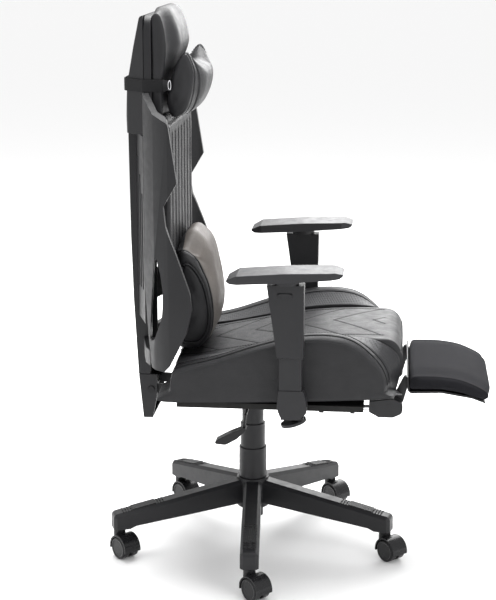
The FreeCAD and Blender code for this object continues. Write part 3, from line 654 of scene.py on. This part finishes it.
def softened(node, width=0.0018, name=None, material=None):
    """A copy of a CAD node with its sharp edges rounded, which stands for the node."""
    source = NODES[node]
    mesh = bmesh.new()
    mesh.from_mesh(source.data)
    bmesh.ops.remove_doubles(mesh, verts=mesh.verts, dist=1e-5)
    bmesh.ops.dissolve_limit(mesh, angle_limit=math.radians(0.6), verts=mesh.verts, edges=mesh.edges)
    slot = SLOTS[node]
    piece = new_piece(name or node + "_shaped", mesh, material or slot, BODIES[node])
    bevel = piece.modifiers.new("edges", "BEVEL")
    bevel.width = width
    bevel.segments = 3
    bevel.limit_method = "ANGLE"
    bevel.angle_limit = math.radians(32)
    bevel.use_clamp_overlap = True
    bevel.harden_normals = False
    apply_modifiers(piece)
    weighted = piece.modifiers.new("even_shade", "WEIGHTED_NORMAL")
    weighted.keep_sharp = True
    apply_modifiers(piece)
    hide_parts(node)


def finish_cad_nodes():
    """Give every CAD node the material of its slot."""
    for node, piece in NODES.items():
        material = MATERIALS[SLOTS[node]]
        if not piece.material_slots:
            piece.data.materials.append(material)
        for place in piece.material_slots:
            place.material = material


# ---------------------------------------------------------------- seat


def seat_pad():
    """Middle of the seat: crowned, rolled over the front edge and quilted with chevrons."""
    outline = [(1.0, 0.0), (1.0, 0.35), (0.985, 0.55), (0.90, 0.595), (0.76, 0.70), (0.62, 0.81),
               (0.46, 0.925), (0.30, 0.985), (0.12, 1.0), (0.04, 0.955), (0.0, 0.72), (0.008, 0.35),
               (0.05, 0.02), (0.2, 0.0), (0.6, 0.0)]
    points = within("seat_cushion", outline)
    low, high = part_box("seat_cushion")
    crown = 5 * MM

    def sections(t):
        lift = crown * (1 - t * t)
        return curve_through([
            Vector((point.x, point.y + (lift if point.y > low[2] + 0.05 else 0))) for point in points
        ], 10)

    mesh = across_loft(sections, low[0], high[0], 7 * MM, points=260, steps=60)
    piece = new_piece("seat_pad", mesh, "leather", "seat")
    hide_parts("seat_cushion")
    subdivide(piece)
    tree = surface_of(piece)
    top = high[2] + 0.1
    half = 120 * MM
    rise = 110 * MM
    chevron_tips = (178, 85, -7, -99, -191, -283)
    sewn = (-0.312, 0.152)
    lines = []
    for tip in chevron_tips:
        for sign in (-1, 1):
            lines.append([(0, tip * MM, top), (sign * half, tip * MM - rise, top)])
    for sign in (-1, 1):
        lines.append([(sign * half, 0.15, top), (sign * half, -0.31, top)])
    for number, line in enumerate(lines):
        path = [
            (place, normal) for place, normal in dropped(tree, line, (0, 0, -1))
            if sewn[0] < place.y < sewn[1]
        ]
        if len(path) > 3:
            press_seam(piece, path, 4 * MM, 1.2 * MM)
            stitches("seat_stitch_%d" % number, path, 0.0, "seat")
    front = dropped(tree, [(-0.142, low[1] - 0.1, 0.522), (0.142, low[1] - 0.1, 0.522)], (0, 1, 0))
    press_seam(piece, front, 6 * MM, 2.2 * MM)
    for row, offset in enumerate((-3 * MM, 3 * MM)):
        stitches("seat_front_stitch_%d" % row, front, offset, "seat")


def bolster_outlines():
    """Fractions of the bolster box for its seat line, crest and outer edge."""
    across = [0.988, 0.949, 0.796, 0.620, 0.443, 0.296, 0.188, 0.090]
    seat_line = [0.463, 0.500, 0.568, 0.685, 0.802, 0.846, 0.846, 0.796]
    crest = [0.426, 0.512, 0.636, 0.827, 0.975, 1.000, 0.907, 0.636]
    outer = [0.364, 0.450, 0.580, 0.770, 0.905, 0.925, 0.820, 0.530]
    tails = [
        ([(0.994, 0.0), (1.0, 0.222)], [(0.0, 0.574), (0.012, 0.13), (0.067, 0.0)]),
        ([(0.994, 0.0), (1.0, 0.191)], [(0.051, 0.377), (0.055, 0.241), (0.090, 0.117)]),
        ([(0.988, 0.012), (0.994, 0.167)], [(0.067, 0.340), (0.071, 0.241), (0.106, 0.136)]),
    ]
    return [
        before + list(zip(across, line)) + after
        for (before, after), line in zip(tails, (seat_line, crest, outer))
    ]


def seat_side(name, side):
    """Side bolster with a perforated inner face, a plain crest and a plain outer panel."""
    node = "seat_bolster_" + name
    low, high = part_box(node)
    seat_line, crest, outer = [within(node, outline) for outline in bolster_outlines()]
    places = [0.0, 0.25, 0.5, 0.68, 0.8, 0.9, 0.965, 1.0]
    weights = [(0, 0.0), (0, 0.42), (0, 0.8), (0, 1.0), (1, 0.02), (1, 0.25), (1, 0.62), (1, 1.0)]
    rings = []
    inner_x, outer_x = (low[0], high[0]) if side > 0 else (high[0], low[0])
    for place, (half, weight) in zip(places, weights):
        first, second = (seat_line, crest) if half == 0 else (crest, outer)
        ring = evenly(curve_through(between(first, second, weight), 10), 220)
        rings.append(shrunk(ring, 1.0, inner_x + (outer_x - inner_x) * place))
    flat_first = [Vector((p.y, p.z)) for p in rings[0]]
    flat_last = [Vector((p.y, p.z)) for p in rings[-1]]
    smooth = [curve_through(column, 4, closed=False) for column in zip(*rings)]
    rings = [list(ring) for ring in zip(*smooth)]
    caps = [(0.985, -0.0012), (0.96, -0.0006), (0.9, -0.0002)]
    caps += [(factor, 0.0) for factor in (0.75, 0.6, 0.45, 0.3, 0.15, 0.05, 0.01)]
    outward = [shrunk(flat_last, factor, outer_x + side * reach) for factor, reach in caps]
    inward = [shrunk(flat_first, factor, inner_x + side * 0.002) for factor in (0.01, 0.1, 0.25, 0.6, 0.97)]
    mesh = skin_over(inward + rings + outward)
    piece = new_piece("seat_side_" + name, mesh, "leather", "seat")
    piece.data.materials.append(MATERIALS["perforated_leather"])
    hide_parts(node)
    subdivide(piece)
    for x, label in ((0.205, "inner"), (0.232, "outer")):
        path = cut_path(piece, (side * x, 0, 0), (1, 0, 0), lambda place: place.z > 0.47 and place.y > -0.335)
        press_seam(piece, path, 6 * MM, 2.4 * MM)
        tube_along("seat_piping_%s_%s" % (label, name), path, 1.5 * MM, "leather", "seat",
                   lift=-0.6 * MM)
        stitches("seat_side_stitch_%s_%s" % (label, name), path, -side * 4 * MM, "seat")
    for polygon in piece.data.polygons:
        centre = polygon.center
        inside = abs(centre.x) < 0.203 and centre.z > 0.5 and centre.y > -0.30
        faces_in = polygon.normal.x * side < 0.55 and polygon.normal.z > 0.1
        polygon.material_index = 1 if inside and faces_in else 0


# ---------------------------------------------------------------- back and headrest


def lumbar_pad():
    """Lumbar cushion: pale front panel, dark piping and pleated dark sides."""
    middle = within("lumbar_cushion", [
        (0.97, 0.02), (0.67, 0.0), (0.35, 0.02), (0.1, 0.13), (0.0, 0.33), (0.03, 0.47), (0.09, 0.6),
        (0.28, 0.86), (0.48, 0.96), (0.67, 1.0), (0.91, 0.94), (0.99, 0.7), (0.99, 0.26)])
    end = within("lumbar_cushion", [
        (0.96, 0.03), (0.7, 0.01), (0.38, 0.03), (0.14, 0.14), (0.08, 0.29), (0.13, 0.42), (0.25, 0.58),
        (0.48, 0.74), (0.63, 0.82), (0.76, 0.86), (0.93, 0.85), (0.99, 0.68), (0.99, 0.26)])
    low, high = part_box("lumbar_cushion")
    sections = blended(middle, end, 0.35, 0.65)
    mesh = across_loft(sections, low[0] + 0.006, high[0] - 0.006, 22 * MM,
                       points=150, steps=40, cap_bulge=0.004)
    piece = new_piece("lumbar_pad", mesh, "leather", "back")
    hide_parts("lumbar_cushion")
    inflate(piece, 0.005, 3.0, 6 * MM)
    subdivide(piece)
    piece.data.materials.append(MATERIALS["lumbar_leather"])
    panel = 112 * MM
    for name, side in SIDES.items():
        for row, x in enumerate((panel, 134 * MM)):
            path = cut_path(piece, (side * x, 0, 0), (1, 0, 0), lambda place: place.y < 0.158)
            press_seam(piece, path, 7 * MM, 3 * MM)
            tube_along("lumbar_piping_%s_%d" % (name, row), path, 1.9 * MM, "leather", "back",
                       lift=-0.5 * MM)
            stitches("lumbar_stitch_%s_%d" % (name, row), path, side * 5 * MM, "back")
    for polygon in piece.data.polygons:
        centre = polygon.center
        front = abs(centre.x) < panel and centre.y < 0.150
        polygon.material_index = 1 if front else 0


def neck_pillow():
    """Neck pillow whose ends rise to pointed ears."""
    middle = within("head_pillow", [
        (0.75, 0.03), (0.52, 0.05), (0.28, 0.12), (0.08, 0.32), (0.0, 0.52), (0.04, 0.68), (0.2, 0.8),
        (0.4, 0.84), (0.6, 0.78), (0.78, 0.62), (0.9, 0.4), (0.9, 0.18)])
    end = within("head_pillow", [
        (0.85, 0.0), (0.6, 0.03), (0.42, 0.12), (0.3, 0.3), (0.24, 0.5), (0.22, 0.7), (0.3, 0.88),
        (0.42, 0.99), (0.58, 0.93), (0.76, 0.72), (0.93, 0.42), (0.99, 0.2)])
    low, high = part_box("head_pillow")
    sections = blended(middle, end, 0.45, 0.55)
    mesh = across_loft(sections, low[0] + 0.004, high[0] - 0.004, 12 * MM,
                       points=130, steps=44, cap_bulge=0.005)
    piece = new_piece("neck_pillow", mesh, "leather", "back")
    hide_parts("head_pillow")
    inflate(piece, 0.004, 3.0, 5 * MM)
    subdivide(piece)
    for name, side in SIDES.items():
        for row, (x, tilt) in enumerate(((96 * MM, 0.20), (120 * MM, 0.08))):
            normal = Vector((side, 0, -tilt)).normalized()
            path = cut_path(piece, (side * x, 0.14, 1.11), normal, lambda place: place.y < 0.165)
            press_seam(piece, path, 6 * MM, 2.6 * MM)
            stitches("pillow_stitch_%s_%d" % (name, row), path, side * 2.5 * MM, "back")


def head_pad():
    """Padded headrest front, bulging forward between a thin sewn rim."""
    low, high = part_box("headrest_pad")
    front = within("headrest_pad", [
        (1.0, 0.0), (0.55, 0.0), (0.52, 0.3), (0.48, 0.38), (0.29, 0.46), (0.02, 0.62), (0.0, 0.72),
        (0.18, 0.88), (0.47, 0.985), (0.84, 1.0), (1.0, 0.93), (1.0, 0.5)])
    rim = within("headrest_pad", [
        (1.0, 0.0), (0.62, 0.0), (0.60, 0.3), (0.55, 0.37), (0.48, 0.46), (0.42, 0.62), (0.44, 0.72),
        (0.52, 0.84), (0.66, 0.93), (0.86, 0.95), (1.0, 0.88), (1.0, 0.5)])
    sections = blended(front, rim, 0.55, 0.45)
    mesh = across_loft(sections, low[0], high[0], 8 * MM, points=150, steps=40)
    piece = new_piece("head_pad", mesh, "leather", "back")
    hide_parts("headrest_pad")
    subdivide(piece)


def back_pad():
    """Inner back cushion with upright sewn channels."""
    low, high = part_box("back_cushion")
    outline = within("back_cushion", [
        (1.0, 0.0), (0.3, 0.0), (0.0, 0.03), (0.0, 0.25), (0.0, 0.5), (0.0, 0.75), (0.0, 0.97), (0.3, 1.0),
        (1.0, 1.0), (1.0, 0.5)])

    def sections(_):
        return curve_through(outline, 8)

    mesh = across_loft(sections, low[0], high[0], 9 * MM, points=200, steps=60)
    piece = new_piece("back_pad", mesh, "leather", "back")
    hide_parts("back_cushion")
    subdivide(piece)
    tree = surface_of(piece)
    for number in range(-3, 4):
        x = number * 48 * MM
        line = [(x, low[1] - 0.1, low[2] + 0.02), (x, low[1] - 0.1, high[2] - 0.02)]
        path = dropped(tree, line, (0, 1, 0), 0.004)
        press_seam(piece, path, 9 * MM, 5 * MM)
        stitches("back_stitch_%d" % (number + 3), path, 0.0, "back")


def strap():
    """Elastic strap of the neck pillow."""
    softened("pillow_strap", 0.0006, "strap", "webbing")


def strap_ends():
    """Ends of the elastic strap, from the headrest's side to a small ring on the pillow."""
    low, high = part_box("pillow_strap")
    for name, side in SIDES.items():
        x = side * (abs(low[0]) - 0.0008)
        rings = []
        for step in range(9):
            part = step / 8
            y = low[1] + 0.002 - part * 0.016
            half = (high[2] - low[2]) / 2 * (1 - 0.35 * smoothstep(part))
            middle = (high[2] + low[2]) / 2 + 0.002 * part
            rings.append([
                Vector((x + side * thick, y, middle + half * up))
                for thick, up in ((0, -1), (0, 1), (0.0016, 1), (0.0016, -1))
            ])
        mesh = skin_over(rings)
        new_piece("strap_end_" + name, mesh, "webbing", "back")
        loop = [
            (Vector((x + side * 0.001, low[1] - 0.014 + math.cos(a) * 0.003,
                     (high[2] + low[2]) / 2 + 0.002 + math.sin(a) * 0.010)), Vector((side, 0, 0)))
            for a in (2 * math.pi * number / 24 for number in range(24))
        ]
        tube_along("strap_ring_" + name, loop, 0.0009, "chrome", "back", closed=True)


# ---------------------------------------------------------------- base


def leg_treads():
    """Rows of short raised bars near the tip of each leg."""
    tree = surface_of(NODES["base_star"])
    start, end = 0.225, 0.322
    bars = 16
    rows = {-1: (0.0115, 0.009), 0: (0.0, 0.011), 1: (0.0115, 0.009)}
    mesh = bmesh.new()
    for number in range(LEG_COUNT):
        turn = Matrix.Rotation(math.radians(LEG_TURN + number * 360 / LEG_COUNT), 3, "Z")
        for side, (shift, width) in rows.items():
            for step in range(bars):
                reach = start + (end - start) * step / (bars - 1)
                corners = []
                for along, across in ((-1, -1), (-1, 1), (1, 1), (1, -1)):
                    place = turn @ Vector((reach + along * 0.0016, side * shift + across * width / 2, 0.3))
                    hit = tree.ray_cast(place, Vector((0, 0, -1)))[0]
                    if hit is not None:
                        corners.append(hit)
                if len(corners) == 4:
                    raised_bar(mesh, corners, 0.0022)
    new_piece("leg_treads", mesh, "tread_plastic", "base")


def raised_bar(mesh, corners, height):
    """A small bar with a smaller top over four corners of a surface."""
    centre = sum(corners, Vector()) / 4
    up = (corners[1] - corners[0]).cross(corners[2] - corners[1]).normalized()
    up = up if up.z > 0 else -up
    low = [mesh.verts.new(corner - up * 0.0004) for corner in corners]
    high = [mesh.verts.new(centre + (corner - centre) * 0.72 + up * height) for corner in corners]
    bridge(mesh, low, high)
    mesh.faces.new(high)


# ---------------------------------------------------------------- footrest


def calf_pad():
    """Footrest pad in woven cloth, with a sewn edge along its sides."""
    low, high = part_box("footrest_cushion")
    outline = within("footrest_cushion", [
        (0.99, 0.36), (0.80, 0.38), (0.60, 0.375), (0.42, 0.30), (0.22, 0.17), (0.07, 0.0), (0.0, 0.14),
        (0.02, 0.40), (0.18, 0.68), (0.38, 0.90), (0.62, 1.0), (0.85, 0.995), (0.97, 0.95), (1.0, 0.65)])
    inset = within("footrest_cushion", [
        (0.97, 0.40), (0.80, 0.41), (0.60, 0.405), (0.42, 0.33), (0.23, 0.20), (0.09, 0.05), (0.03, 0.16),
        (0.06, 0.36), (0.20, 0.60), (0.38, 0.80), (0.62, 0.90), (0.85, 0.90), (0.95, 0.86), (0.98, 0.65)])
    sections = blended(outline, inset, 0.6, 0.4)
    mesh = across_loft(sections, low[0], high[0], 10 * MM, points=180, steps=60, cap_bulge=0.002)
    piece = new_piece("calf_pad", mesh, "footrest_cloth", "footrest")
    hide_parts("footrest_cushion")
    subdivide(piece)
    for side in SIDES.values():
        path = cut_path(piece, (side * 0.163, 0, 0), (1, 0, 0))
        press_seam(piece, path, 4 * MM, 1.4 * MM)


# ---------------------------------------------------------------- hard parts


def hard_parts():
    """Rounded edges on every moulded or forged piece that shows."""
    widths = {
        "base_star": 2.2, "rear_hood": 3.0, "spine_cover": 1.6, "spine_foot": 1.6, "headrest_plate": 3.0,
        "back_panel_left": 1.2, "back_panel_right": 1.2, "side_frame_left": 2.6, "side_frame_right": 2.6,
        "lower_links": 2.0, "seat_mechanism": 1.2, "recline_arms": 0.8, "height_lever": 1.6,
        "footrest_elbows": 2.0, "footrest_hinge_arms": 1.6, "footrest_plate": 0.8,
        "column_cover_upper": 0.2, "column_cover_middle": 1.0, "column_cover_lower": 1.2,
    }
    for name in SIDES:
        widths.update({
            "arm_pad_" + name: 3.0, "arm_sleeve_" + name: 6.0, "arm_post_" + name: 6.0,
            "arm_knob_" + name: 1.6, "arm_button_" + name: 1.0, "arm_bracket_" + name: 0.6,
            "footrest_guide_" + name: 1.2,
        })
    for number in range(1, LEG_COUNT + 1):
        widths["caster_hood_%d" % number] = 1.2
        widths["caster_wheels_%d" % number] = 0.8
    for node, width in widths.items():
        softened(node, width * MM)


# ---------------------------------------------------------------- camera and light


def camera():
    """Camera above the armrests, looking down across the chair from its right side."""
    data = bpy.data.cameras.new("camera")
    data.lens = CAMERA_LENS
    data.sensor_width = 36
    view = linked("camera", data)
    view.location = CAMERA_PLACE
    forward = Vector(CAMERA_FORWARD).normalized()
    view.rotation_mode = "QUATERNION"
    view.rotation_quaternion = forward.to_track_quat("-Z", "Y")
    bpy.context.scene.camera = view


def area_light(name, place, target, size, power):
    """A soft rectangular light aimed at a point."""
    data = bpy.data.lights.new(name, "AREA")
    data.shape = "RECTANGLE"
    data.size = size
    data.size_y = size
    data.energy = power
    light = linked(name, data)
    light.location = place
    direction = Vector(target) - Vector(place)
    light.rotation_mode = "QUATERNION"
    light.rotation_quaternion = direction.to_track_quat("-Z", "Y")


def studio():
    """White floor, white surroundings and three soft lights."""
    world = bpy.data.worlds.new("studio")
    bpy.context.scene.world = world
    world.use_nodes = True
    world.node_tree.nodes["Background"].inputs["Color"].default_value = (1, 1, 1, 1)
    world.node_tree.nodes["Background"].inputs["Strength"].default_value = 1.0
    area_light("top", (0.8, -0.2, 3.4), (0, 0, 0.6), 2.4, 190)
    area_light("far", (3.4, -0.8, 2.2), (0, 0, 0.7), 2.4, 90)
    area_light("key", (-2.4, -3.0, 2.6), (0, 0, 0.7), 1.6, 30)
    mesh = bmesh.new()
    bmesh.ops.create_grid(mesh, x_segments=2, y_segments=2, size=30)
    data = bpy.data.meshes.new("floor")
    mesh.to_mesh(data)
    mesh.free()
    floor = linked("floor", data)
    white = Shader("floor_white", (0.93, 0.93, 0.93), 0.9)
    white.vary_roughness(white.noise(3.0), 0.03)
    data.materials.append(white.material)
    bpy.context.scene.view_settings.view_transform = "Standard"


camera()
studio()
finish_cad_nodes()
hard_parts()
seat_pad()
for side_name, side_sign in SIDES.items():
    seat_side(side_name, side_sign)
lumbar_pad()
neck_pillow()
head_pad()
back_pad()
strap()
strap_ends()
leg_treads()
calf_pad()
